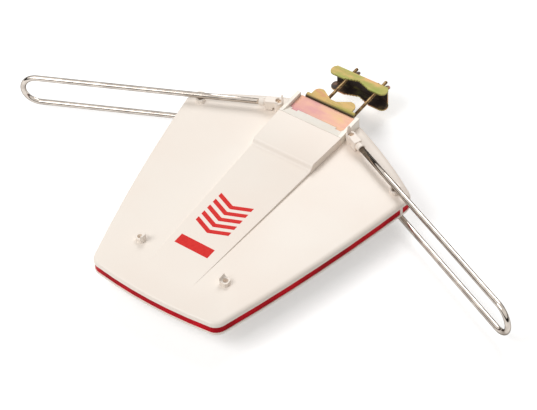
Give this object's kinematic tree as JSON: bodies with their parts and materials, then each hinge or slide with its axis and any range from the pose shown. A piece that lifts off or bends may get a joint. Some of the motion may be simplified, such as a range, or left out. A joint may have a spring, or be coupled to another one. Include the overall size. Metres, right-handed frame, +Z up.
{
  "type": "outdoor tv antenna",
  "caption": "Flat kite-shaped outdoor TV antenna with a red edge band, two folding tube loops and a steel mast clamp with wing nuts.",
  "frame": {"origin": "axis of the mast seated in the fixed jaw, level with the clamp bolts", "axes": "+X to the right across the housing, +Y from the housing to the mast and on along the clamp bolts, +Z up along the mast"},
  "size_m": [0.8124, 0.515, 0.079],
  "materials": {
    "cream_plastic": "satin",
    "white_plastic": "satin",
    "red_plastic": "gloss",
    "passivated_steel": "satin",
    "yellow_steel": "satin",
    "olive_steel": "satin",
    "bolt_steel": "satin",
    "nut_steel": "rough",
    "screw_steel": "satin",
    "bright_tube": "polished",
    "board": "matte",
    "copper": "satin",
    "tinned_steel": "satin",
    "spring_brass": "satin",
    "nickel": "polished"
  },
  "bodies": {
    "housing": {"upper_shell": "cream_plastic", "lower_shell": "cream_plastic", "red_band": "red_plastic", "mount_collar": "white_plastic", "mount_bracket": "passivated_steel", "fixed_jaw": "yellow_steel", "clamp_bolt_left": "bolt_steel", "clamp_bolt_right": "bolt_steel", "bolt_washers": "bolt_steel", "upper_pivot_screws": "screw_steel", "lower_pivot_screws": "screw_steel", "bracket_screws": "screw_steel", "housing_screws": "screw_steel", "element_board": "board", "copper_elements": "copper", "amplifier_board": "board", "screening_can": "tinned_steel", "contact_strips": "spring_brass", "coax_socket": "nickel", "socket_nut": "nickel", "socket_washer": "nickel"},
    "saddle_unit": {"saddle": "olive_steel", "nut_washers": "bolt_steel", "spring_washers": "nut_steel"},
    "left_wing_nut": {"wing_nut_left": "nut_steel"},
    "right_wing_nut": {"wing_nut_right": "nut_steel"},
    "left_loop": {"loop_left": "bright_tube", "upper_plug_left": "cream_plastic", "lower_plug_left": "cream_plastic"},
    "right_loop": {"loop_right": "bright_tube", "upper_plug_right": "cream_plastic", "lower_plug_right": "cream_plastic"}
  },
  "joints": [
    {"name": "saddle_slide", "type": "slide", "parent": "housing", "child": "saddle_unit", "axis": [0, 1, 0], "range_m": [-0.04, 0.012]},
    {"name": "left_nut_turn", "type": "hinge", "parent": "saddle_unit", "child": "left_wing_nut", "pos_m": [-0.025, 0.05584, 0], "axis": [0, 1, 0], "continuous": true},
    {"name": "right_nut_turn", "type": "hinge", "parent": "saddle_unit", "child": "right_wing_nut", "pos_m": [0.025, 0.05584, 0], "axis": [0, 1, 0], "continuous": true},
    {"name": "left_loop_swing", "type": "hinge", "parent": "housing", "child": "left_loop", "pos_m": [-0.061, -0.06646, 0.0045], "axis": [0, 0, 1], "range_deg": [0, 64]},
    {"name": "right_loop_swing", "type": "hinge", "parent": "housing", "child": "right_loop", "pos_m": [0.061, -0.06646, 0.0045], "axis": [0, 0, 1], "range_deg": [-64, 0]}
  ],
  "couplings": [
    {"joint": "left_nut_turn", "follows": "saddle_slide", "rad_per_m": 7854},
    {"joint": "right_nut_turn", "follows": "saddle_slide", "rad_per_m": 7854}
  ]
}
